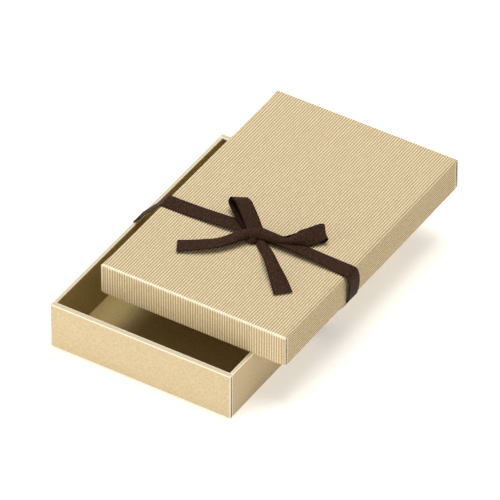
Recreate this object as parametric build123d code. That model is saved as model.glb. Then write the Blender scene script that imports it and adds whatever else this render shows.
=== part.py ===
from build123d import *
import math
import os

# A folded board gift box: an open tray with rolled double walls, a shallow lid of
# ribbed board set askew on its rim, and a ribbon tied round both with a bow.
# Millimetres, +Z up, +Y from the front of the box to its back, +X to the right.
# The origin is the middle of the ribbon's underside, where it passes under the tray.

# Tray
tray_width = 150.0            # outside, left to right
tray_length = 228.0           # outside, front to back
tray_height = 38.0
tray_board = 0.8              # thickness of the tray's board
side_wall = 2.8               # left and right walls, folded double
side_lean = 2.4               # their inner panels stand this far in at the floor
end_wall = 4.2                # front and back walls, folded double over the corner tabs
tray_seam = 0.5               # open butt joint at each upright corner
tray_tab_length = 36.0
rim_radius = 0.5              # soft outer edge of a folded rim
tab_clearance = 1.0           # a tucked tab stops this far below the rim strip

# Lid
lid_width = 153.0
lid_length = 235.0
lid_height = 25.5
lid_from_left = 23.3          # lid's left side, from the tray's left side
lid_from_front = 30.6         # lid's front, from the tray's front
lid_rest_gap = 0.1            # between the tray's rim and the lid's lower edge
liner = 0.5                   # flat sheet on the inside of the ribbed board
flute_paper = 0.12            # ribbed sheet, thickness in its valleys
flute_height = 0.45           # valley to crest
flute_pitch = 2.04            # crest to crest
flute_flat = 0.2              # share of the pitch that a crest or a valley takes
lid_seam = 0.8                # open butt joint at each upright corner
lid_tab_length = 22.0
long_fold_radius = 1.2        # soft long folds of the lid's top
end_fold_cut = 0.3            # crisper, flattened folds over the front and back
corner_snip = 2.2             # lower corners that are cut off

# Ribbon
ribbon_width = 13.5
ribbon_thickness = 0.35
ribbon_gap = 0.15             # between the ribbon and the board that it goes round
ribbon_from_front = 115.0     # ribbon's middle, from the tray's front
knot_from_left = 97.5         # knot's middle, from the tray's left side
knot_from_front = 111.5
knot_size = (11.0, 12.0, 5.8)
knot_turn = -25.0             # degrees about Z
knot_radius = 2.4             # round edges of the turn that holds the knot
knot_end_cut = 0.8

# Places that follow from the sizes above
tray_left = -tray_width / 2
tray_right = tray_width / 2
tray_front = -ribbon_from_front
tray_back = tray_front + tray_length
tray_base = ribbon_thickness + ribbon_gap
tray_top = tray_base + tray_height
floor_top = tray_base + tray_board

lid_left = tray_left + lid_from_left
lid_right = lid_left + lid_width
lid_front = tray_front + lid_from_front
lid_back = lid_front + lid_length
lid_base = tray_top + lid_rest_gap
lid_top = lid_base + lid_height
flute_depth = flute_paper + flute_height
lid_board = liner + flute_depth

knot_x = tray_left + knot_from_left
knot_y = tray_front + knot_from_front
band_top = lid_top + ribbon_gap + ribbon_thickness


def block(low, high):
    """A flat panel between its lowest and highest corner."""
    size = [b - a for a, b in zip(low, high)]
    middle = [(a + b) / 2 for a, b in zip(low, high)]
    return Pos(*middle) * Box(*size)


def edges_at(shape, axis, **where):
    """The edges along an axis whose middle lies at the given X, Y or Z."""
    found = []
    for edge in shape.edges().filter_by(axis):
        middle = edge.center()
        if all(abs(getattr(middle, name) - value) < 0.01 for name, value in where.items()):
            found.append(edge)
    return found


# ---------------------------------------------------------------- tray

# Each wall is drawn lying along +Y with its outer face at X = 0, then put in its place.
tray_sides = {
    "left": (Location((tray_left, tray_front, 0), (0, 0, 0)), tray_length, side_wall),
    "right": (Location((tray_right, tray_back, 0), (0, 0, 180)), tray_length, side_wall),
    "front": (Location((tray_right, tray_front, 0), (0, 0, 90)), tray_width, end_wall),
    "back": (Location((tray_left, tray_back, 0), (0, 0, -90)), tray_width, end_wall),
}


def tray_outer_wall(length, thickness, panel_inset, rim_inset):
    """Outer panel and the rim strip folded over it, with soft folds."""
    ledge = tray_top - tray_board
    panel = block((0, panel_inset, tray_base), (tray_board, length - panel_inset, ledge))
    rim = block((0, rim_inset, ledge), (thickness, length - rim_inset, tray_top))
    wall = panel + rim
    wall = fillet(edges_at(wall, Axis.Y, X=0, Z=tray_top), rim_radius)
    wall = fillet(edges_at(wall, Axis.Y, X=thickness, Z=tray_top), rim_radius * 0.6)
    return fillet(edges_at(wall, Axis.Y, X=0, Z=tray_base), rim_radius * 0.6)


def tray_inner_wall(length, thickness, inset, lean):
    """Inner panel, from the rim strip down to the floor, leaning inwards as it goes down."""
    section = Polyline(
        (thickness - tray_board, tray_top - tray_board), (thickness, tray_top - tray_board),
        (thickness + lean, floor_top), (thickness - tray_board + lean, floor_top), close=True,
    )
    return Pos(0, length - inset, 0) * extrude(Plane.XZ * make_face(section), length - 2 * inset)


def tray_tab(x_sign, y_sign):
    """Corner tab of a side wall, tucked inside the front or back wall."""
    outer = tray_width / 2 - tray_board
    face = tray_length / 2 - tray_board - tray_seam
    tab = block(
        (outer - tray_tab_length, face - tray_board, floor_top),
        (outer, face, tray_top - tray_board - tab_clearance),
    )
    tab = chamfer(edges_at(tab, Axis.Y, X=outer - tray_tab_length), tray_tab_length / 6)
    if x_sign != y_sign:
        tab = mirror(tab, Plane.YZ)
    if y_sign < 0:
        tab = Rot(0, 0, 180) * tab
    return Pos(0, tray_front + tray_length / 2, 0) * tab


def build_tray():
    floor = block(
        (tray_left + tray_board, tray_front + tray_board, tray_base),
        (tray_right - tray_board, tray_back - tray_board, floor_top),
    )
    pieces = {"tray_floor": floor}
    for side, (place, length, thickness) in tray_sides.items():
        if side in ("left", "right"):
            panel_inset, rim_inset, inner_inset, lean = tray_board + tray_seam, end_wall, end_wall, side_lean
        else:
            panel_inset, rim_inset, inner_inset, lean = 0, 0, side_wall, 0
        pieces[f"tray_{side}_outer_wall"] = place * tray_outer_wall(length, thickness, panel_inset, rim_inset)
        pieces[f"tray_{side}_inner_wall"] = place * tray_inner_wall(length, thickness, inner_inset, lean)
    for x_name, x_sign in (("left", -1), ("right", 1)):
        for y_name, y_sign in (("front", -1), ("back", 1)):
            pieces[f"tray_{y_name}_{x_name}_tab"] = tray_tab(x_sign, y_sign)
    return pieces


# ---------------------------------------------------------------- lid

def fluted_face(width):
    """Section of the ribbed sheet: its flat side on Y = 0, and a crest at each end.

    Each rib is a flat crest and a flat valley joined by two straight flanks.
    """
    ribs = max(round(width / flute_pitch), 1)
    pitch = width / ribs
    half_flat = pitch * flute_flat / 2
    points = [(0, 0), (0, flute_depth)]
    for rib in range(ribs):
        crest, valley = rib * pitch, (rib + 0.5) * pitch
        points += [
            (crest + half_flat, flute_depth), (valley - half_flat, flute_paper),
            (valley + half_flat, flute_paper), (crest + pitch - half_flat, flute_depth),
        ]
    points += [(width, flute_depth), (width, 0)]
    return make_face(Polyline(*points, close=True))


def lid_envelope():
    """The lid's outer box, with its top folds softened."""
    box = block((lid_left, lid_front, lid_base), (lid_right, lid_back, lid_top))
    long_folds = edges_at(box, Axis.Y, Z=lid_top)
    box = fillet(long_folds, long_fold_radius)
    end_folds = [edge for edge in box.edges().filter_by(Axis.X) if abs(edge.center().Z - lid_top) < 0.01]
    return chamfer(end_folds, end_fold_cut)


def top_skin():
    """Ribs of the top run front to back, and are mitred into the folds all round."""
    ribs = extrude(Plane.XZ * fluted_face(lid_width), -lid_length)
    ribs = Pos(lid_left, lid_front, lid_top - flute_depth) * ribs
    place = Pos((lid_left + lid_right) / 2, (lid_front + lid_back) / 2, lid_top)
    outer = place * Rectangle(lid_width, lid_length)
    inner = place * Pos(0, 0, -flute_depth) * Rectangle(lid_width - 2 * flute_depth, lid_length - 2 * flute_depth)
    return ribs & loft([inner, outer])


def end_skin():
    """Upright ribs of the front wall, drawn in place, with the mitre at their top."""
    section = Plane(origin=(lid_left, lid_front + flute_depth, lid_base), x_dir=(1, 0, 0), z_dir=(0, 0, 1))
    ribs = extrude(section * mirror(fluted_face(lid_width), Plane.XZ), lid_height)
    mitre = Polyline(
        (lid_front, lid_base), (lid_front, lid_top),
        (lid_front + flute_depth, lid_top - flute_depth), (lid_front + flute_depth, lid_base), close=True,
    )
    return ribs & (Pos(lid_left, 0, 0) * extrude(Plane.YZ * make_face(mitre), lid_width))


def side_skin():
    """Level ribs of the right wall, drawn in place, with the mitre at their top."""
    start = lid_front + lid_board + lid_seam
    section = Plane(origin=(lid_right - flute_depth, start, lid_base), x_dir=(0, 0, 1), z_dir=(0, 1, 0))
    ribs = extrude(section * fluted_face(lid_height), lid_back - lid_board - lid_seam - start)
    mitre = Polyline(
        (lid_right, lid_base), (lid_right, lid_top),
        (lid_right - flute_depth, lid_top - flute_depth), (lid_right - flute_depth, lid_base), close=True,
    )
    return ribs & (Pos(0, lid_back, 0) * extrude(Plane.XZ * make_face(mitre), lid_length))


def snip(x):
    """Corner cut off the lower end of a front or back wall, at X."""
    return Pos(x, (lid_front + lid_back) / 2, lid_base) * Rot(0, 45, 0) * Box(
        corner_snip * math.sqrt(2), lid_length * 1.1, corner_snip * math.sqrt(2)
    )


def build_lid():
    liner_top = lid_top - flute_depth
    liner_under = liner_top - liner
    envelope = lid_envelope()
    to_left = Plane(origin=((lid_left + lid_right) / 2, 0, 0), z_dir=(1, 0, 0))
    to_back = Plane(origin=(0, (lid_front + lid_back) / 2, 0), z_dir=(0, 1, 0))
    half_turn = Location((lid_left + lid_right, lid_front + lid_back, 0), (0, 0, 180))

    front_skin = end_skin() & envelope
    right_skin = side_skin() & envelope
    front_liner = block(
        (lid_left, lid_front + flute_depth, lid_base), (lid_right, lid_front + lid_board, liner_under)
    )
    right_liner = block(
        (lid_right - lid_board, lid_front + lid_board + lid_seam, lid_base),
        (lid_right - flute_depth, lid_back - lid_board - lid_seam, liner_under),
    )
    tab = block(
        (lid_left + lid_board, lid_front + lid_board, lid_base + lid_board),
        (lid_left + lid_board + lid_tab_length, lid_front + lid_board + liner, liner_under),
    )
    tab = chamfer(edges_at(tab, Axis.Y, X=lid_left + lid_board + lid_tab_length), lid_tab_length / 6)
    return {
        "lid_top_liner": block(
            (lid_left + flute_depth, lid_front + flute_depth, liner_under),
            (lid_right - flute_depth, lid_back - flute_depth, liner_top),
        ),
        "lid_top_ribs": top_skin() & envelope,
        "lid_front_liner": front_liner - snip(lid_left),
        "lid_front_ribs": front_skin - snip(lid_left),
        "lid_back_liner": mirror(front_liner, to_back) - snip(lid_right),
        "lid_back_ribs": mirror(front_skin, to_back) - snip(lid_right),
        "lid_right_liner": right_liner,
        "lid_right_ribs": right_skin,
        "lid_left_liner": mirror(right_liner, to_left),
        "lid_left_ribs": mirror(right_skin, to_left),
        "lid_front_left_tab": tab,
        "lid_front_right_tab": mirror(tab, to_left),
        "lid_back_left_tab": mirror(tab, to_back),
        "lid_back_right_tab": half_turn * tab,
    }


# ---------------------------------------------------------------- ribbon

def offset_corners(corners, distance):
    """Corners of a closed outline, in order, moved outwards so that each side moves by the distance."""
    moved = []
    for index, corner in enumerate(corners):
        before = Vector(*corners[index - 1])
        here = Vector(*corner)
        after = Vector(*corners[(index + 1) % len(corners)])
        first = (here - before).normalized()
        second = (after - here).normalized()
        out = Vector(-first.Y, first.X) + Vector(-second.Y, second.X)
        half_angle = first.get_angle(second) / 2
        moved.append(here + out.normalized() * (distance / math.cos(math.radians(half_angle))))
    return moved


def build_bands():
    """The ribbon's tight run round lid and tray, mitred where it bends over an edge."""
    corners = [
        (tray_right, tray_base), (tray_left, tray_base), (tray_left, tray_top),
        (lid_left, lid_top), (lid_right, lid_top), (lid_right, lid_base),
    ]
    names = ["under_band", "left_band", "left_span", "top_band", "right_band", "right_span"]
    inner = offset_corners(corners, ribbon_gap)
    outer = offset_corners(corners, ribbon_gap + ribbon_thickness)
    bands = {}
    for index, name in enumerate(names):
        other = (index + 1) % len(corners)
        outline = [inner[index], inner[other], outer[other], outer[index]]
        face = make_face(Polyline(*[(point.X, point.Y) for point in outline], close=True))
        bands[f"ribbon_{name}"] = extrude(Plane.XZ * face, ribbon_width / 2, both=True)
    return bands


# Straps of the bow: middle of the strap from the knot's middle (across, back, up from
# the band), then the heading of its width and how far that edge is raised, in degrees.
# They are drawn for a ribbon 13.5 wide, and grow with it.
bow_scale = ribbon_width / 13.5
left_tail = [
    (-1.0, -2.5, 4.6, -40, 4), (-8.7, -13.5, 3.9, -40, 10), (-17.2, -23.0, 2.9, -44, 10),
    (-27.9, -30.5, 1.7, -54, 7), (-38.9, -36.8, 0.8, -60, 2),
]
front_tail = [
    (3.0, -2.0, 2.6, -134, 8), (11.5, -8.0, 4.0, -134, 16), (23.5, -17.0, 4.8, -135, 22),
    (34.5, -26.0, 3.4, -136, 16), (44.0, -34.0, 1.8, -137, 6), (52.3, -41.3, 0.7, -138, 0),
]
right_strand = [(2.0, -0.5, 5.0, -66, -4), (12.5, 3.5, 4.3, -66, -6), (21.5, 7.2, 3.5, -60, -10)]
right_return = [(4.0, 1.6, 1.0, -66, 0), (13.0, 4.6, 1.1, -64, -3), (21.5, 7.2, 2.1, -60, -10)]

# Loops of the bow: where the loop starts from the knot's middle, the heading of its
# axis and the lean of its right edge in degrees, then its line (along, up, bend radius).
back_loop = (-1.0, 2.0, 138, -14, [
    (0, 4.4, 0), (13, 7.4, 40), (28, 10.0, 6), (35.2, 7.4, 1.4), (34.0, 3.0, 2.0), (22, 2.2, 30), (4.5, 2.3, 0),
])
right_loop = (19.0, 5.4, 41, -16, [
    (0, 3.6, 0), (14, 5.6, 40), (28, 8.8, 6), (34.6, 6.8, 1.4), (33.5, 2.9, 1.8), (22, 2.4, 30), (0, 2.3, 0),
])


def strap(stations):
    """A flat strap of ribbon through its stations."""
    knot_middle = Vector(knot_x, knot_y, band_top)
    middles = [knot_middle + Vector(across, back, up) * bow_scale for across, back, up, _, _ in stations]
    sections = []
    for index, (_, _, _, heading, raised) in enumerate(stations):
        ahead = middles[min(index + 1, len(middles) - 1)] - middles[max(index - 1, 0)]
        ahead = ahead.normalized()
        turn, tilt = math.radians(heading), math.radians(raised)
        width = Vector(math.cos(turn) * math.cos(tilt), math.sin(turn) * math.cos(tilt), math.sin(tilt))
        width = (width - ahead * width.dot(ahead)).normalized()
        plane = Plane(origin=middles[index], x_dir=width, z_dir=ahead)
        sections.append(plane * Rectangle(ribbon_width, ribbon_thickness))
    return loft(sections, ruled=True)


def loop(across, back, heading, lean, line):
    """A loop of ribbon, its width square to its own leaning plane."""
    turn, roll = math.radians(heading), math.radians(lean)
    axis = Vector(math.cos(turn), math.sin(turn), 0)
    width = Vector(math.sin(turn) * math.cos(roll), -math.cos(turn) * math.cos(roll), math.sin(roll))
    start = (knot_x + across * bow_scale, knot_y + back * bow_scale, band_top)
    plane = Plane(origin=start, x_dir=axis, z_dir=width)
    points = [(along * bow_scale, up * bow_scale) for along, up, _ in line]
    path = FilletPolyline(*points, radius=[radius * bow_scale for _, _, radius in line[1:-1]])
    return extrude(plane * trace(path, ribbon_thickness), ribbon_width / 2, both=True)


def build_bow():
    knot = Box(*knot_size)
    knot = fillet(knot.edges().filter_by(Axis.Y), knot_radius)
    knot = chamfer(knot.faces().sort_by(Axis.Y)[0].edges() + knot.faces().sort_by(Axis.Y)[-1].edges(), knot_end_cut)
    knot = Pos(knot_x, knot_y, band_top + knot_size[2] / 2) * Rot(0, 0, knot_turn) * knot
    back = loop(*back_loop) - knot
    right = loop(*right_loop) + strap(right_strand) + strap(right_return)
    return {
        "ribbon_knot": knot,
        "bow_back_loop": back,
        "bow_right_loop": right - knot - back,
        "bow_left_tail": strap(left_tail) - knot - back,
        "bow_front_tail": strap(front_tail) - knot,
    }


os.makedirs("parts", exist_ok=True)
for name, piece in {**build_tray(), **build_lid(), **build_bands(), **build_bow()}.items():
    export_step(piece, f"parts/{name}.step")
    print(name, f"{piece.volume:.1f} mm3, {len(piece.solids())} solid")
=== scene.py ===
import bpy
import bmesh
import math
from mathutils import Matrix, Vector, noise


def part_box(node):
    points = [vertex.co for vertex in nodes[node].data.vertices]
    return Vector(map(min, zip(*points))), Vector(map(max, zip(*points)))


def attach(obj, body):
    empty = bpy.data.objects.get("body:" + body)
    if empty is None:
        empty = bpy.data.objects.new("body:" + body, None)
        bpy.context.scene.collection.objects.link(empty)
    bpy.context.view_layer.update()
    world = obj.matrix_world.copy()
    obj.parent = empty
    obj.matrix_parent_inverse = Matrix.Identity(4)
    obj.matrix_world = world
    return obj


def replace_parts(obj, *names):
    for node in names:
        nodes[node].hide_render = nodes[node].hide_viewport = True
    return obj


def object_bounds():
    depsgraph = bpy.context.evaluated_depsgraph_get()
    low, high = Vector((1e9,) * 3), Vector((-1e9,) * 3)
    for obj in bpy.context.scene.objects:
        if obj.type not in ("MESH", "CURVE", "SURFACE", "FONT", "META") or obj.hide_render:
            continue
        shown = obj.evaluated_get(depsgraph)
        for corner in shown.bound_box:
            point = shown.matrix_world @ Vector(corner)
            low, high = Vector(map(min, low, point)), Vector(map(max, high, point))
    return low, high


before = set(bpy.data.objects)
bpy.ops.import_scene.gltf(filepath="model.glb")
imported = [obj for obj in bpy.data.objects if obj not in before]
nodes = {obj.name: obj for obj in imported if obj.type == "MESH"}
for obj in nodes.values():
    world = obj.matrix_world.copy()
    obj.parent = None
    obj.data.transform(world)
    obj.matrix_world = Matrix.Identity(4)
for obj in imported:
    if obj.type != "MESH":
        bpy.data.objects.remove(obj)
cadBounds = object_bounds()
mm = 0.001   # sizes in the dictionaries are in millimetres where nothing else is said
print("scene: frame loaded,", len(nodes), "nodes")


# camera

camera = {
    "place": (2.12872, -3.37487, 3.33027),  # metres
    "turn": (50.496, -0.025, 32.027),       # degrees
    "lens": 523.44,                         # a long lens, far away, so edges run nearly parallel
    "sensor": 36.0,
    "clip": (0.1, 40),                      # metres
}


def addCamera(settings):
    data = bpy.data.cameras.new("camera")
    data.lens = settings["lens"]
    data.sensor_width = settings["sensor"]
    data.clip_start, data.clip_end = settings["clip"]
    obj = bpy.data.objects.new("camera", data)
    obj.location = settings["place"]
    obj.rotation_euler = [math.radians(angle) for angle in settings["turn"]]
    bpy.context.scene.collection.objects.link(obj)
    bpy.context.scene.camera = obj


addCamera(camera)


# materials

# sRGB hex to linear colour
def linear(code):
    values = [int(code[i:i + 2], 16) / 255 for i in (1, 3, 5)]
    return [v / 12.92 if v <= 0.04045 else ((v + 0.055) / 1.055) ** 2.4 for v in values] + [1.0]


def newMaterial(name):
    material = bpy.data.materials.new(name)
    material.use_nodes = True
    return material, material.node_tree.nodes["Principled BSDF"]


# Inputs by name or number: a socket is linked, and anything else is the input's own value
def setInputs(owner, node, inputs):
    for key, value in inputs.items():
        if isinstance(value, bpy.types.NodeSocket):
            owner.node_tree.links.new(value, node.inputs[key])
        else:
            node.inputs[key].default_value = value


# A node with its settings, its inputs by number, and its inputs by name with _ for a space
def addNode(material, kind, settings={}, numbered={}, **named):
    node = material.node_tree.nodes.new(kind)
    for key, value in settings.items():
        setattr(node, key, value)
    setInputs(material, node, numbered)
    setInputs(material, node, {key.replace("_", " "): value for key, value in named.items()})
    return node


def fillRamp(node, stops):
    ramp = node.color_ramp
    while len(ramp.elements) < len(stops):
        ramp.elements.new(0.5)
    for element, (place, code) in zip(ramp.elements, stops):
        element.position = place
        element.color = linear(code)


kraft = {
    "dark": "#BDA984",
    "middle": "#C9B794",
    "light": "#D3C2A0",
    "wornAndLit": "#FFF6E2",   # folded and cut edges, where the fibres are broken open, with a painted highlight of the rounded folds
    "ledge": "#CABFA5",  # greyer colour on faces that look up, such as the top of the rolled rim
    "edgeMm": 1.4,       # reach of the pale edge band from an edge
    "fleckMm": 1.5,      # cloudy pulp
    "fibreMm": 0.35,     # short fibres
    "reliefMm": 0.15,    # height of the pulp's relief
    "roughness": 0.82,
    "specular": 0.25,
}


# Kraft board, rolled from unbleached brown pulp: the eye sees a dull, cloudy tan with short fibres in it
def kraftColour(material, settings):
    place = addNode(material, "ShaderNodeTexCoord").outputs["Object"]
    cloud = addNode(material, "ShaderNodeTexNoise", Vector=place,
                    Scale=1 / (settings["fleckMm"] * mm), Detail=5.0, Roughness=0.62)
    fibre = addNode(material, "ShaderNodeTexNoise", Vector=place,
                    Scale=1 / (settings["fibreMm"] * mm), Detail=2.0, Distortion=1.5)
    pulp = addNode(material, "ShaderNodeMix", {"data_type": "FLOAT"},
                   A=cloud.outputs["Fac"], B=fibre.outputs["Fac"], Factor=0.35).outputs["Result"]
    ramp = addNode(material, "ShaderNodeValToRGB", Fac=pulp)
    fillRamp(ramp, [(0.36, settings["dark"]), (0.5, settings["middle"]), (0.64, settings["light"])])
    return ramp.outputs["Color"], pulp


# Lays coats of colour over the board, each by its share and the lowest first, and gives it a dull face
def finishBoard(material, shader, colour, coats, relief, settings):
    for share, code in coats:
        mixed = addNode(material, "ShaderNodeMix", {"data_type": "RGBA"}, {6: colour, 7: linear(code)}, Factor=share)
        colour = mixed.outputs[2]   # inputs 6 and 7 are the two colours, output 2 the mixed one
    bump = addNode(material, "ShaderNodeBump", Height=relief, Strength=0.12, Distance=settings["reliefMm"] * mm)
    setInputs(material, shader, {
        "Base Color": colour,
        "Roughness": settings["roughness"],
        "Specular IOR Level": settings["specular"],
        "Normal": bump.outputs["Normal"],
    })


# Plain board: the eye sees pale lines where folds and cuts break the fibres, partly a painted highlight of the
# rounded folds, and a thin line of painted shade at a joint
def makeKraft(name, settings):
    material, shader = newMaterial(name)
    colour, relief = kraftColour(material, settings)
    coats = []
    # pale band along folds and cut edges: broken fibres, with a painted highlight where a rounded fold would catch
    # the light
    rounded = addNode(material, "ShaderNodeBevel", {"samples": 8}, Radius=settings["edgeMm"] * mm)
    flat = addNode(material, "ShaderNodeNewGeometry").outputs["True Normal"]
    same = addNode(material, "ShaderNodeVectorMath", {"operation": "DOT_PRODUCT"},
                   {0: rounded.outputs["Normal"], 1: flat})
    square = addNode(material, "ShaderNodeVectorMath", {"operation": "MULTIPLY"}, {0: flat, 1: flat}).outputs[0]
    # 1 on a level or upright face, less on a slanting fold
    level = addNode(material, "ShaderNodeVectorMath", {"operation": "DOT_PRODUCT"}, {0: square, 1: square})
    turned = addNode(material, "ShaderNodeMath", {"operation": "MULTIPLY"},
                     {0: same.outputs["Value"], 1: level.outputs["Value"]})
    edge = addNode(material, "ShaderNodeMapRange", Value=turned.outputs[0],
                   From_Min=0.98, From_Max=0.86, To_Min=0.0, To_Max=0.95)
    if "ledge" in settings:
        up = addNode(material, "ShaderNodeSeparateXYZ", Vector=flat).outputs["Z"]
        top = addNode(material, "ShaderNodeMapRange", Value=up, From_Min=0.8, From_Max=0.95, To_Max=0.85)
        coats.append((top.outputs["Result"], settings["ledge"]))
    coats.append((edge.outputs["Result"], settings["wornAndLit"]))
    if "seamMm" in settings:
        place = addNode(material, "ShaderNodeTexCoord").outputs["Object"]
        along = addNode(material, "ShaderNodeSeparateXYZ", Vector=place).outputs["Y"]
        away = addNode(material, "ShaderNodeMath", {"operation": "SUBTRACT"},
                       {0: along, 1: settings["middleMm"] * mm})
        far = addNode(material, "ShaderNodeMath", {"operation": "ABSOLUTE"}, {0: away.outputs[0]}).outputs[0]
        seam = settings["seamMm"]
        # the worn lip before a joint, partly a painted highlight, and the joint's painted shade from there on
        lip = addNode(material, "ShaderNodeMapRange", Value=far,
                      From_Min=(seam - 1.1) * mm, From_Max=(seam - 0.6) * mm, To_Max=0.9)
        cut = addNode(material, "ShaderNodeMapRange", Value=far, From_Min=seam * mm, From_Max=(seam + 0.15) * mm)
        coats += [(lip.outputs["Result"], settings["wornAndLit"]), (cut.outputs["Result"], settings["shade"])]
    finishBoard(material, shader, colour, coats, relief, settings)
    return material


ribs = {
    "valley": "#A08350",   # glue and shade lie in the valleys
    "crest": "#F2E6C8",    # painted highlight on the crests
    "joint": "#3A2C16",    # painted shade in an open joint at an upright corner
    "pitchMm": 2.04,
}


# Ripple board, a kraft sheet fluted between rollers and glued to a flat one: the eye sees a painted highlight on the
# crests and painted shade in the valleys, broken fibres, partly a painted highlight, along each crease, and painted
# shade in an open joint
def makeRibbed(name, settings, ribSettings):
    material, shader = newMaterial(name)
    colour, relief = kraftColour(material, settings)
    sheet = addNode(material, "ShaderNodeUVMap", {"uv_map": "flatMm"}).outputs["UV"]
    across = addNode(material, "ShaderNodeSeparateXYZ", Vector=sheet).outputs["X"]
    phase = addNode(material, "ShaderNodeMath", {"operation": "MULTIPLY"},
                    {0: across, 1: 2 * math.pi / ribSettings["pitchMm"]})
    wave = addNode(material, "ShaderNodeMath", {"operation": "COSINE"}, {0: phase.outputs[0]}).outputs[0]
    crest = addNode(material, "ShaderNodeMapRange", Value=wave, From_Min=-0.1, From_Max=0.95, To_Max=0.85)
    valley = addNode(material, "ShaderNodeMapRange", Value=wave, From_Min=0.25, From_Max=-0.85, To_Max=0.62)
    # pulp noise that varies the strength of the crests' painted highlight
    rubbed = addNode(material, "ShaderNodeMapRange", Value=relief, From_Min=0.4, From_Max=0.6, To_Min=0.45)
    crestHighlight = addNode(material, "ShaderNodeMath", {"operation": "MULTIPLY"},
                   {0: crest.outputs["Result"], 1: rubbed.outputs["Result"]})
    # above 0 worn edges, partly a painted highlight; below 0 the painted shade of an open joint
    wearAndPaintedLight = addNode(material, "ShaderNodeAttribute", {"attribute_name": "wearAndPaintedLight"}).outputs["Fac"]
    wornAndLit = addNode(material, "ShaderNodeMapRange", Value=wearAndPaintedLight)
    joint = addNode(material, "ShaderNodeMapRange", Value=wearAndPaintedLight, From_Min=0.0, From_Max=-1.0)   # painted shade of an open joint below 0
    coats = [
        (crestHighlight.outputs[0], ribSettings["crest"]), (valley.outputs["Result"], ribSettings["valley"]),
        (wornAndLit.outputs["Result"], settings["wornAndLit"]), (joint.outputs["Result"], ribSettings["joint"]),
    ]
    finishBoard(material, shader, colour, coats, relief, settings)
    return material


plain = {key: value for key, value in kraft.items() if key != "ledge"}
kraftBoard = makeKraft("kraftBoard", kraft)
# the tray's side walls, with a thin line of painted shade at the corner joints, which lie seamMm either side of
# middleMm on Y
kraftSeamed = makeKraft("kraftSeamed", {**kraft, "seamMm": 111.95, "middleMm": -1.0, "shade": "#4A381C"})
# the lid's sides behind the ribs, with painted shade at the joints in the same way
kraftLiner = makeKraft("kraftLiner", {**plain, "seamMm": 115.3, "middleMm": 33.1, "shade": "#3A2C16"})
# a darker copy of the board, painted shade on the folded-in walls
kraftInsideShade = makeKraft("kraftInsideShade", {**plain, "dark": "#917C47", "middle": "#9E8954", "light": "#AA9560"})
# the tray's floor, paler than the folded-in walls and darker than the outer board
kraftFloor = makeKraft("kraftFloor", {
    **plain, "dark": "#AA945F", "middle": "#B8A26C", "light": "#C4AF79", "wornAndLit": "#B8A26C"})
# corner tabs coloured dark as painted shade, seen only through the joints
kraftTabShade = makeKraft("kraftTabShade", {
    **plain, "dark": "#3E3018", "middle": "#4A3A1F", "light": "#564528", "wornAndLit": "#564528"})
ribbedKraft = makeRibbed("ribbedKraft", kraft, ribs)

ribbon = {
    "width": 13.5,
    "thickness": 0.35,
    "facets": 12,          # across the ribbon
    "step": 1.5,           # between points along a loop
    "bendStep": 9,         # degrees of bend between points
    "selvedge": 0.7,       # dense edge
    "weftMm": 0.55,        # ribs across it, drawn a little coarser than the real ones so that they show
    "warpMm": 0.44,        # threads along it
    "slubMm": 2.0,         # thicker threads
    "reliefMm": 0.06,      # height of the weave's relief
    "dark": "#1C0F08",
    "light": "#452C1C",
    "roughness": 0.78,
    "specular": 0.14,
    "sheen": 0.05,
}


# Polyester ribbon, woven with fine weft ribs and a dense selvedge: the eye sees a dull dark brown with a faint
# grain and darker edges
def makeWovenRibbon(settings):
    material, shader = newMaterial("wovenRibbon")
    sheet = addNode(material, "ShaderNodeUVMap", {"uv_map": "flatMm"}).outputs["UV"]
    parts = addNode(material, "ShaderNodeSeparateXYZ", Vector=sheet)
    across, along = parts.outputs["X"], parts.outputs["Y"]
    threads = []
    for place, threadMm in ((along, settings["weftMm"]), (across, settings["warpMm"])):
        phase = addNode(material, "ShaderNodeMath", {"operation": "MULTIPLY"}, {0: place, 1: 2 * math.pi / threadMm})
        threads.append(addNode(material, "ShaderNodeMath", {"operation": "SINE"}, {0: phase.outputs[0]}).outputs[0])
    weft, warp = threads
    weave = addNode(material, "ShaderNodeMath", {"operation": "MULTIPLY_ADD"}, {0: warp, 1: 0.5, 2: weft}).outputs[0]
    slub = addNode(material, "ShaderNodeTexNoise", Vector=sheet,
                   Scale=1 / settings["slubMm"], Detail=4.0, Roughness=0.6)
    tone = addNode(material, "ShaderNodeMath", {"operation": "MULTIPLY_ADD"},
                   {0: weave, 1: 0.12, 2: slub.outputs["Fac"]})
    ramp = addNode(material, "ShaderNodeValToRGB", Fac=tone.outputs[0])
    fillRamp(ramp, [(0.34, settings["dark"]), (0.66, settings["light"])])
    fromMiddle = addNode(material, "ShaderNodeMath", {"operation": "ABSOLUTE"}, {0: across}).outputs[0]
    inner = settings["width"] / 2 - settings["selvedge"]
    edge = addNode(material, "ShaderNodeMapRange", Value=fromMiddle,
                   From_Min=inner - 0.2, From_Max=inner, To_Max=0.8)
    mixed = addNode(material, "ShaderNodeMix", {"data_type": "RGBA"},
                    {6: ramp.outputs["Color"], 7: linear(settings["dark"])}, Factor=edge.outputs["Result"])
    bump = addNode(material, "ShaderNodeBump", Height=weave, Strength=0.35, Distance=settings["reliefMm"] * mm)
    setInputs(material, shader, {
        "Base Color": mixed.outputs[2],
        "Roughness": settings["roughness"],
        "Specular IOR Level": settings["specular"],
        "Sheen Weight": settings["sheen"],
        "Sheen Roughness": 0.5,
        "Sheen Tint": linear(settings["light"]),
        "Normal": bump.outputs["Normal"],
    })
    return material


wovenRibbon = makeWovenRibbon(ribbon)
print("scene: materials made")


# board pieces keep their solids

boardFinish = {
    "tray_left_outer_wall": kraftSeamed,
    "tray_right_outer_wall": kraftSeamed,
    "tray_floor": kraftFloor,
}
for name, node in nodes.items():
    if name.startswith(("tray_", "lid_")):
        inside = "inner" in name or "liner" in name
        # the dark tabs and the darker inner boards are painted shade
        usual = kraftTabShade if name.endswith("tab") else kraftInsideShade if inside else kraftBoard
        node.data.materials.clear()
        node.data.materials.append(boardFinish.get(name, usual))
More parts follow.
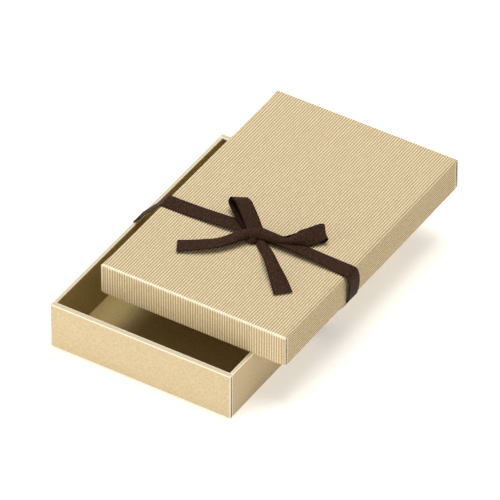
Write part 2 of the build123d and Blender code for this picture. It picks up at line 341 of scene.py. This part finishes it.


# A grid whose points placeAt(column, row) puts in place: it gives a point, its place on the flat sheet in
# millimetres, and its wear, which above 0 is partly a painted highlight and below 0 is painted shade
def gridPiece(name, columns, rows, placeAt, material, body):
    bm = bmesh.new()
    bmesh.ops.create_grid(bm, x_segments=columns, y_segments=rows, size=0.5)
    wearAndPaintedLightLayer = bm.verts.layers.float.new("wearAndPaintedLight")
    flat = {}
    for vert in bm.verts:
        column = round((vert.co.x + 0.5) * columns)
        row = round((vert.co.y + 0.5) * rows)
        vert.co, flat[vert], vert[wearAndPaintedLightLayer] = placeAt(column, row)
    flatLayer = bm.loops.layers.uv.new("flatMm")
    for face in bm.faces:
        face.smooth = True
        for loop in face.loops:
            loop[flatLayer].uv = flat[loop.vert]
    mesh = bpy.data.meshes.new(name)
    bm.to_mesh(mesh)
    bm.free()
    obj = bpy.data.objects.new(name, mesh)
    bpy.context.scene.collection.objects.link(obj)
    mesh.materials.append(material)
    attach(obj, body)
    return obj


# Gives a sheet its thickness: side is -1 where it grows behind its face, and 0 where it grows both ways
def thicken(piece, thicknessMm, side):
    wall = piece.modifiers.new("thickness", "SOLIDIFY")
    wall.thickness = thicknessMm * mm
    wall.offset = side
    return piece


# ribbed cover

frontLow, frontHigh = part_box("lid_front_ribs")
lidLow = frontLow / mm
lidHigh = Vector((frontHigh.x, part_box("lid_back_ribs")[1].y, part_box("lid_top_ribs")[1].z)) / mm
lidBase = lidLow.z
cover = {
    "pitch": ribs["pitchMm"],
    "paper": 0.12,        # valleys above the liner
    "height": 0.45,       # crests above the valleys
    "crest": 0.8,         # power of the wave: under 1, crests are broader than valleys
    "uneven": 0.12,       # share by which the ribs' heights vary
    "stepsPerRib": 8,
    "crush": 0.4,         # share of the height left in a crease
    "longFold": 3.0,      # soft radius of the long folds
    "tight": 0.3,         # share of that radius at a corner
    "settle": 14.0,       # reach from a corner in which the long folds grow soft
    "snip": 2.2,          # lower corners that are cut off, half as high as wide
    "sheet": 0.11,        # thickness of the fluted paper
    "board": 0.5,         # thickness of the liner
    "linerFold": 0.2,     # radius of the liner's tightest fold
    "linerSteps": 8,      # facets over a fold of the liner
    "wander": 0.3,        # how far a rib strays sideways
    "sway": (0.09, 0.035),  # pace of that straying across and along the ribs, per millimetre
    "steady": 6,          # reach from either side in which a rib strays less
    "lip": 0.9,           # rubbed edge beside an upright joint, partly a painted highlight
    "rubbed": 0.85,       # wear on that edge, partly a painted highlight
    "open": -1.0,         # value that stands for the painted shade of an open joint
}


# Height of the fluted sheet above the liner, with slightly uneven ribs
def fluteHeight(distance, spacing, share, settings, seed):
    wave = (0.5 + 0.5 * math.cos(2 * math.pi * distance / spacing)) ** settings["crest"]
    rib = round(distance / spacing) * 3.7   # far enough from its neighbours in the noise to differ from them
    uneven = 1 + settings["uneven"] * noise.noise(Vector((rib, seed, 0.0)))
    return settings["paper"] + settings["height"] * wave * share * uneven


# Rows from the front's lower edge over the top to the back's lower edge: y, z, outward turn in degrees, share of
# the ribs' height, and wear, partly a painted highlight of the creases
def coverLine(settings):
    depth = settings["paper"] + settings["height"]
    front, back, top = lidLow.y + depth, lidHigh.y - depth, lidHigh.z - depth
    crease = [(80, 0.85, 0.75), (62, 0.6, 0.9), (45, settings["crush"], 1.0), (28, 0.6, 0.9), (10, 0.85, 0.75)]
    line = [(front, lidBase, -90, 0.8, 0.5), (front, lidBase + 0.5, -90, 1.0, 0.0)]
    line += [(front, top - reach, -90, 1.0, wearAndPaintedLight) for reach, wearAndPaintedLight in ((8.0, 0.0), (2.0, 0.0), (0.5, 0.55))]
    line += [(front, top, -turn, share, wearAndPaintedLight) for turn, share, wearAndPaintedLight in crease]
    line += [(front + reach, top, 0, 1.0, 0.6 if reach == 0.4 else 0.0) for reach in (0.4, 1.4, 4.0, 9.0, 15.0, 25.0)]
    line += [(front + (back - front) * part, top, 0, 1.0, 0.0) for part in (0.25, 0.5, 0.75)]
    line += [(back - reach, top, 0, 1.0, 0.0) for reach in (25.0, 15.0, 9.0, 4.0, 1.4, 0.4)]
    line += [(back, top, turn, share, wearAndPaintedLight) for turn, share, wearAndPaintedLight in reversed(crease)]
    line += [(back, top - reach, 90, 1.0, 0.0) for reach in (0.5, 2.0, 8.0)]
    return line + [(back, lidBase + 0.5, 90, 1.0, 0.0), (back, lidBase, 90, 0.8, 0.5)]


# Radius of a long fold at y: tight at the corners, soft between them
def foldRadius(y, settings):
    inward = max(0.0, min(y - lidLow.y, lidHigh.y - y))
    tight = settings["tight"]
    return settings["longFold"] * min(1.0, tight + (1 - tight) * inward / settings["settle"])


# A long fold in section, at a distance along the sheet from its lower end: distance in from the side, drop from
# the top, and turn
def overFold(along, radius, settings):
    wide = settings["longFold"]
    if along > wide * math.pi / 2:
        return along - wide * (math.pi / 2 - 1), 0.0, 0.0
    path = along / (wide * math.pi / 2) * (wide + radius * (math.pi / 2 - 1))
    if path >= radius * math.pi / 2:
        return path - radius * (math.pi / 2 - 1), 0.0, 0.0
    turn = math.pi / 2 - path / radius
    return radius * (1 - math.sin(turn)), radius * (1 - math.cos(turn)), turn


# Front, top and back in one fluted sheet, creased where it folds over
def makeCover(settings):
    width = lidHigh.x - lidLow.x + 2 * settings["longFold"] * (math.pi / 2 - 1)
    depth = settings["paper"] + settings["height"]
    count = round(width / settings["pitch"])
    columns = count * settings["stepsPerRib"]
    spacing = width / count
    line = coverLine(settings)
    swayAcross, swayAlong = settings["sway"]

    def placeAt(column, row):
        x = column / columns * width
        y, z, angle, share, wearAndPaintedLight = line[row]
        front = math.radians(angle)
        level = max(0.0, math.cos(front))   # 0 on the upright flaps, 1 on the top
        edge = min(x, width - x)
        radius = max(0.01, foldRadius(y, settings) * level)   # over 0, because overFold divides by it
        across, drop, turn = overFold(edge, radius, settings)
        turn *= level
        lift = fluteHeight(x, spacing, share, settings, row * 0.35)
        sway = noise.noise(Vector((x * swayAcross, (y + z) * swayAlong, 4.0)))
        stray = settings["wander"] * sway * min(1.0, edge / settings["steady"])
        above = depth + (lift - depth) * math.cos(turn)
        out = across + (depth - lift) * math.sin(turn)
        y += math.sin(front) * above
        z += math.cos(front) * above - drop
        if edge < settings["snip"] and row in (0, 1):
            z = max(z, lidBase + (settings["snip"] - edge) / 2)
        # at an upright joint, painted shade on the open edge and a worn lip beside it, partly a painted highlight
        if abs(angle) == 90 and edge < settings["lip"]:
            wearAndPaintedLight = settings["open"] if edge < 0.1 else max(wearAndPaintedLight, settings["rubbed"])
        side = lidLow.x + out if x < width / 2 else lidHigh.x - out
        return Vector((side + stray, y, z)) * mm, (x * settings["pitch"] / spacing, y + z), wearAndPaintedLight

    piece = gridPiece("ribbedCover", columns, len(line) - 1, placeAt, ribbedKraft, "lid")
    return thicken(piece, settings["sheet"], -1)


# A long side of the fluted sheet, with level ribs
def makeSide(settings, name, toRight, node):
    low, high = [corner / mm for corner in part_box(node)]
    depth = settings["paper"] + settings["height"]
    height = lidHigh.z - settings["longFold"] - low.z
    count = round(height / settings["pitch"])
    columns = count * settings["stepsPerRib"]
    spacing = height / count
    length = high.y - low.y
    # wear by distance from an upright joint: painted shade in the open joint, then a worn lip that is partly a
    # painted highlight
    ends = {0.0: settings["open"], 0.45: settings["open"], 0.65: 0.9, 1.2: 0.9,
            1.7: 0.0, 4.0: 0.0, 8.0: 0.0, 13.0: 0.0}
    steps = [*ends, *(length * part for part in (0.15, 0.4, 0.6, 0.85))]
    steps += [length - reach for reach in reversed(ends)]
    if toRight > 0:
        steps.reverse()

    def placeAt(column, row):
        up = column / columns * height
        inward = min(steps[row], length - steps[row])
        stretch = 1 + (settings["longFold"] - foldRadius(low.y + steps[row], settings)) / height
        lift = fluteHeight(up, spacing, 1.0, settings, row * 0.5 + toRight)
        x = high.x - depth + lift if toRight > 0 else low.x + depth - lift
        wearAndPaintedLight = ends.get(round(inward, 3), 0.0) or (0.5 if column == 0 else 0.0)
        point = Vector((x, low.y + steps[row], low.z + up * stretch)) * mm
        return point, (up * settings["pitch"] / spacing, steps[row]), wearAndPaintedLight

    piece = gridPiece(name, columns, len(steps) - 1, placeAt, ribbedKraft, "lid")
    return thicken(piece, settings["sheet"], -1)


# Top and long sides of the smooth liner in one folded board, so its folds are as soft as the cover's
def makeLiner(settings):
    depth = settings["paper"] + settings["height"]
    left, right, top = lidLow.x + depth, lidHigh.x - depth, lidHigh.z - depth
    sideLow, sideHigh = [corner.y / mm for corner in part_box("lid_left_liner")]
    topLow, topHigh = [corner.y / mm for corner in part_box("lid_top_liner")]
    reaches = (0.5, 4, 8, 13)   # rows beside a corner, where the long folds grow soft
    steps = [topLow, *(sideLow + reach for reach in reaches), (sideLow + sideHigh) / 2]
    steps += [*(sideHigh - reach for reach in reversed(reaches)), topHigh]
    arc = settings["linerSteps"]

    def placeAt(column, row):
        y = steps[row]
        radius = max(settings["linerFold"], foldRadius(y, settings) - depth)
        mirrored = column > arc + 1
        step = 2 * arc + 3 - column if mirrored else column   # 0 at a lower edge, then 1 to arc + 1 over the fold
        turn = math.pi / 2 * max(0, step - 1) / arc
        across, z = radius * (1 - math.cos(turn)), top - radius * (1 - math.sin(turn))
        if step == 0:
            z = lidLow.z
        if step <= 1:
            y = min(max(y, sideLow), sideHigh)
        return Vector((right - across if mirrored else left + across, y, z)) * mm, (column, y), 0.0

    piece = gridPiece("lidLiner", 2 * arc + 3, len(steps) - 1, placeAt, kraftLiner, "lid")
    return thicken(piece, settings["board"], -1)


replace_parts(makeLiner(cover), "lid_top_liner", "lid_left_liner", "lid_right_liner")
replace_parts(makeCover(cover), "lid_top_ribs", "lid_front_ribs", "lid_back_ribs")
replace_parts(makeSide(cover, "ribbedLeft", -1, "lid_left_ribs"), "lid_left_ribs")
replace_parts(makeSide(cover, "ribbedRight", 1, "lid_right_ribs"), "lid_right_ribs")
print("scene: ribbed cover made")


# ribbon

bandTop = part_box("ribbon_top_band")[1].z / mm
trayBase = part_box("tray_floor")[0].z / mm
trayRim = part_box("tray_left_outer_wall")[1].z / mm
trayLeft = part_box("tray_left_outer_wall")[0].x / mm
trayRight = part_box("tray_right_outer_wall")[1].x / mm
knotMiddle = Vector((22.5, -3.5, bandTop))


# Points with a bend radius each, as a smooth line with a point for every few degrees: [(point, radius)]
def roundedLine(points, bendStep):
    line = [points[0][0]]
    for before, (corner, radius), after in zip(points, points[1:], points[2:]):
        toBefore = (before[0] - corner).normalized()
        toAfter = (after[0] - corner).normalized()
        turn = math.pi - toBefore.angle(toAfter)
        if radius == 0 or turn < 0.01:
            line.append(corner)
            continue
        reach = radius * math.tan(turn / 2)
        handle = reach - radius * 4 / 3 * math.tan(turn / 4)   # of the cubic curve nearest to an arc
        start, end = corner + toBefore * reach, corner + toAfter * reach
        first, second = corner + toBefore * handle, corner + toAfter * handle
        steps = max(3, round(math.degrees(turn) / bendStep))
        for step in range(steps + 1):
            t = step / steps
            near = start * (1 - t) ** 3 + first * 3 * t * (1 - t) ** 2
            line.append(near + second * 3 * t * t * (1 - t) + end * t ** 3)
    line.append(points[-1][0])
    return line


# The line with extra points where two are further apart than the gap
def spread(line, gap):
    fuller = [line[0]]
    for before, after in zip(line, line[1:]):
        steps = max(1, round((after - before).length / gap))
        fuller += [before.lerp(after, step / steps) for step in range(1, steps + 1)]
    return fuller


# Corner cutting: each round halves the turns between stations, ends kept
def smoothStations(stations, rounds=3):
    for _ in range(rounds):
        cut = [stations[0]]
        for a, b in zip(stations, stations[1:]):
            cut.append([x * 0.75 + y * 0.25 for x, y in zip(a, b)])
            cut.append([x * 0.25 + y * 0.75 for x, y in zip(a, b)])
        stations = cut + [stations[-1]]
    return stations


# Turn in radians of a cupped cross-section whose chord is that share of the ribbon's width, found in small steps
def cupTurn(share, step=0.02, most=5.5):
    turn = step / 2
    while turn < most and math.sin(turn / 2) / (turn / 2) > share:
        turn += step
    return turn


# A strip of ribbon from its line: its middles, its width's directions and its shares, cupped where these are under 1
def ribbonPiece(name, line, held, restsOn, *replaced):
    middles, widths, shares = line
    rows = len(middles) - 1
    columns = ribbon["facets"]
    runs = [0.0]
    for a, b in zip(middles, middles[1:]):
        runs.append(runs[-1] + (b - a).length)
    cups = [cupTurn(share) for share in shares]

    def placeAt(column, row):
        side = column / columns - 0.5
        ahead = (middles[min(row + 1, rows)] - middles[max(row - 1, 0)]).normalized()
        normal = widths[row].cross(ahead).normalized()
        turn = cups[row]
        radius = ribbon["width"] / turn
        point = middles[row] + widths[row] * radius * math.sin(side * turn)
        point += normal * radius * (math.cos(side * turn) - (1 + math.cos(turn / 2)) / 2)
        return point * mm, (side * ribbon["width"], runs[row]), 0.0

    piece = gridPiece(name, columns, rows, placeAt, wovenRibbon, "ribbon")
    thicken(piece, ribbon["thickness"], 0)
    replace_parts(piece, *replaced)


# The line of a strip from its stations: x, y, z, heading and raise of the width's right end in degrees, share
def stationLine(stations, origin):
    stations = smoothStations([list(station) for station in stations])
    middles = [origin + Vector(station[:3]) for station in stations]
    widths = []
    for index, station in enumerate(stations):
        ahead = (middles[min(index + 1, len(middles) - 1)] - middles[max(index - 1, 0)]).normalized()
        turn, tilt = math.radians(station[3]), math.radians(station[4])
        width = Vector((math.cos(turn) * math.cos(tilt), math.sin(turn) * math.cos(tilt), math.sin(tilt)))
        widths.append((width - ahead * width.dot(ahead)).normalized())
    return middles, widths, [station[5] for station in stations]


# The line of a loop, which is drawn in its own leaning plane: along, up and bend radius
def loopLine(across, back, heading, lean, line):
    turn, roll = math.radians(heading), math.radians(lean)
    axis = Vector((math.cos(turn), math.sin(turn), 0))
    width = Vector((math.sin(turn) * math.cos(roll), -math.cos(turn) * math.cos(roll), math.sin(roll)))
    rise = width.cross(axis)
    start = knotMiddle + Vector((across, back, 0))
    points = [(start + axis * along + rise * up, radius) for along, up, radius in line]
    middles = spread(roundedLine(points, ribbon["bendStep"]), ribbon["step"])
    return middles, [width] * len(middles), [1.0] * len(middles)


band = {
    "lift": 0.32,           # middle of the ribbon from the board
    "onTop": [              # x, y, lift and raise of the front edge, from left to right over the lid
        (-49.0, -0.8, 0.4, 0), (-30.0, -0.6, 0.6, 1), (-5.0, 0.6, 1.5, 3), (10.0, 1.5, 2.4, 6),
        (22.0, 2.0, 2.6, 9), (38.0, 2.2, 2.5, 13), (58.0, 2.1, 2.3, 14), (80.0, 1.6, 1.5, 10), (94.0, 1.2, 0.8, 4)],
    "overRight": [          # out from the lid's right side, down from its top, and y
        (-1.5, -0.6, 1.1), (1.6, 0.4, 1.3), (3.0, 3.4, 1.8), (3.4, 9.0, 2.6),
        (2.8, 17.0, 3.3), (1.2, 24.0, 3.3), (0.4, 26.0, 3.0)],
    "heading": -90,         # its width lies along the box, with its right end to the front
}


# The tight run round lid and tray, from under the tray's middle and back to it
def bandLine(settings):
    lift = settings["lift"]
    low, rim = trayBase - lift, trayRim + lift
    left, right = trayLeft - lift, trayRight + lift
    # under the tray, up its left side and over to the lid: x, y, z, raise
    line = [
        (0.0, 0.0, low, 0), (trayLeft + 1.0, 0.0, low, 0), (trayLeft + 0.2, 0.0, low, 0),
        (left, 0.0, low + 0.4, 0), (left, 0.0, low + 1.5, 0), (left, 0.0, rim - 1.5, 0), (left, 0.0, rim - 0.4, 0),
        (trayLeft + 1.0, -0.1, rim + 1.0, 0), (lidLow.x - 1.0, -0.7, lidHigh.z - 0.9, 0),
        (lidLow.x - 0.1, -0.8, lidHigh.z + 0.1, 0)]
    line += [(x, y, lidHigh.z + up, raised) for x, y, up, raised in settings["onTop"]]
    line += [(lidHigh.x + out, y, lidHigh.z - down, 0) for out, down, y in settings["overRight"]]
    # down the tray's right side and back under it
    line += [
        (right, 0.4, low + 1.5, 0), (right, 0.3, low + 0.4, 0), (trayRight - 0.2, 0.2, low, 0),
        (trayRight - 1.0, 0.1, low, 0), (0.0, 0.0, low, 0)]
    return stationLine([(x, y, z, settings["heading"], raised, 1) for x, y, z, raised in line], Vector())


# straps of the bow, from the knot's middle: across, back, up, heading and raise of the right edge in degrees, and
# share of the width; the back loop has its start, heading, lean and line
bow = {
    "backLoop": (0.5, 2.6, 143.5, -19, [
        (0, 4.4, 0), (13, 7.4, 40), (28, 10.0, 6), (36.0, 8.0, 2.2), (36.2, 2.6, 2.4), (22, 1.2, 30), (4.5, 2.3, 0)]),
    "tailAndLoop": [  # from the left tail's end over the knot, out to the right loop's tip and back under it
        (-38.9, -36.8, 0.8, -60, 2, 1), (-27.9, -30.5, 1.9, -54, 7, 1), (-17.2, -23.0, 3.1, -44, 10, 1),
        (-9.5, -14.0, 4.6, -42, 8, 0.86), (-4.0, -6.0, 6.0, -52, 0, 0.74), (2.2, -0.6, 6.8, -75, -6, 0.64),
        (9.5, 2.0, 6.0, -68, -10, 0.6), (16.8, 3.2, 5.0, -58, -12, 0.6), (21.8, 4.2, 3.2, -55, -18, 0.46),
        (25.8, 6.0, 2.5, -50, -28, 0.34), (29.8, 9.6, 3.4, -49, -34, 0.6), (34.0, 13.6, 4.5, -49, -36, 0.95),
        (38.0, 17.0, 4.8, -49, -35, 1), (41.6, 22.2, 5.6, -50, -31, 1), (44.2, 26.2, 6.4, -47, -22, 1),
        (45.4, 27.4, 5.0, -47, -16, 1), (44.2, 26.2, 2.6, -47, -10, 1), (41.0, 23.0, 1.9, -48, -6, 1),
        (34.0, 17.0, 1.7, -50, -6, 0.95), (28.5, 11.4, 1.5, -50, -8, 0.62), (23.5, 6.4, 1.3, -52, -6, 0.4),
        (12.0, 3.2, 1.4, -60, 0, 0.42), (3.0, 0.8, 1.5, -66, 0, 0.5)],
    "frontTail": [
        (2.0, 4.0, 0.7, -112, 0, 0.5), (7.6, -0.2, 0.7, -118, 4, 0.5), (13.2, -5.2, 1.4, -126, 10, 0.52),
        (20.5, -10.7, 3.8, -131, 15, 0.58), (27.8, -17.4, 4.8, -135, 20, 0.76), (36.0, -25.1, 3.6, -136, 16, 0.9),
        (44.8, -33.6, 1.8, -137, 6, 0.97), (52.3, -41.3, 0.7, -138, 0, 1)],
    "knotWrap": [     # short turn that holds the bow, under the strap that crosses it
        (4.0, -4.6, 0.8, 25, 0, 0.75), (4.2, -5.0, 2.2, 25, 0, 0.72), (3.2, -2.6, 4.2, 25, 0, 0.7),
        (1.0, 0.8, 4.8, 25, 0, 0.7), (-1.0, 4.6, 3.4, 25, 0, 0.72), (-1.2, 5.0, 0.8, 25, 0, 0.75)],
}

ribbonPiece("ribbonBand", bandLine(band), "stretched", ["tray_floor", "ribbedCover"],
            "ribbon_under_band", "ribbon_left_band", "ribbon_left_span",
            "ribbon_top_band", "ribbon_right_band", "ribbon_right_span")
ribbonPiece("backLoop", loopLine(*bow["backLoop"]), "folded", ["ribbonBand"], "bow_back_loop")
ribbonPiece("tailAndLoop", stationLine(bow["tailAndLoop"], knotMiddle), "folded", ["ribbonBand", "ribbedCover"],
            "bow_left_tail", "bow_right_loop")
ribbonPiece("frontTail", stationLine(bow["frontTail"], knotMiddle), "laid", ["ribbonBand", "ribbedCover"],
            "bow_front_tail")
ribbonPiece("knotWrap", stationLine(bow["knotWrap"], knotMiddle), "folded", ["ribbonBand"], "ribbon_knot")
print("scene: ribbon and bow made")


# floor and light

floor = {
    "colour": "#F4F2EE",
    "halfWidth": 6,        # metres
    "below": 0.2,          # gap under the box, so that the two faces don't flicker
    "roughness": 0.9,
    "glow": 0.5,           # a lit table, so that no hard shadow lies round the box
}


# Matt painted table: the eye sees an even, pale ground
def addFloor(settings):
    bm = bmesh.new()
    bmesh.ops.create_grid(bm, x_segments=1, y_segments=1, size=settings["halfWidth"])
    mesh = bpy.data.meshes.new("floor")
    bm.to_mesh(mesh)
    bm.free()
    obj = bpy.data.objects.new("floor", mesh)
    bpy.context.scene.collection.objects.link(obj)
    material, shader = newMaterial("paleFloor")
    setInputs(material, shader, {
        "Base Color": linear(settings["colour"]),
        "Roughness": settings["roughness"],
        "Emission Color": linear(settings["colour"]),
        "Emission Strength": settings["glow"],
    })
    mesh.materials.append(material)
    obj.location.z = cadBounds[0].z - settings["below"] * mm


lights = {   # places in metres, powers in watts
    "overhead": {"place": (-0.2, 0.5, 2.2), "size": 1.9, "power": 52, "colour": "#FFFFFF"},
    "frontFill": {"place": (-1.4, -2.6, 0.55), "size": 1.0, "power": 45, "colour": "#FFFBF2"},
    "rightFill": {"place": (2.8, -0.3, 0.5), "size": 1.0, "power": 5, "colour": "#FFDFA8"},
}


def addLights(settings):
    for name, light in settings.items():
        data = bpy.data.lights.new(name, "AREA")
        data.energy = light["power"]
        data.size = light["size"]
        data.color = linear(light["colour"])[:3]
        obj = bpy.data.objects.new(name, data)
        obj.location = light["place"]
        obj.rotation_euler = (-Vector(light["place"])).to_track_quat("-Z", "Y").to_euler()
        bpy.context.scene.collection.objects.link(obj)


studio = {
    "colour": "#FFFBF4",
    "strength": 0.3,
}


def addStudio(settings):
    world = bpy.data.worlds.new("studio")
    world.use_nodes = True
    setInputs(world, world.node_tree.nodes["Background"], {
        "Color": linear(settings["colour"]), "Strength": settings["strength"]})
    bpy.context.scene.world = world
    bpy.context.scene.view_settings.view_transform = "Standard"


addFloor(floor)
addLights(lights)
addStudio(studio)
print("scene: floor and lights made")
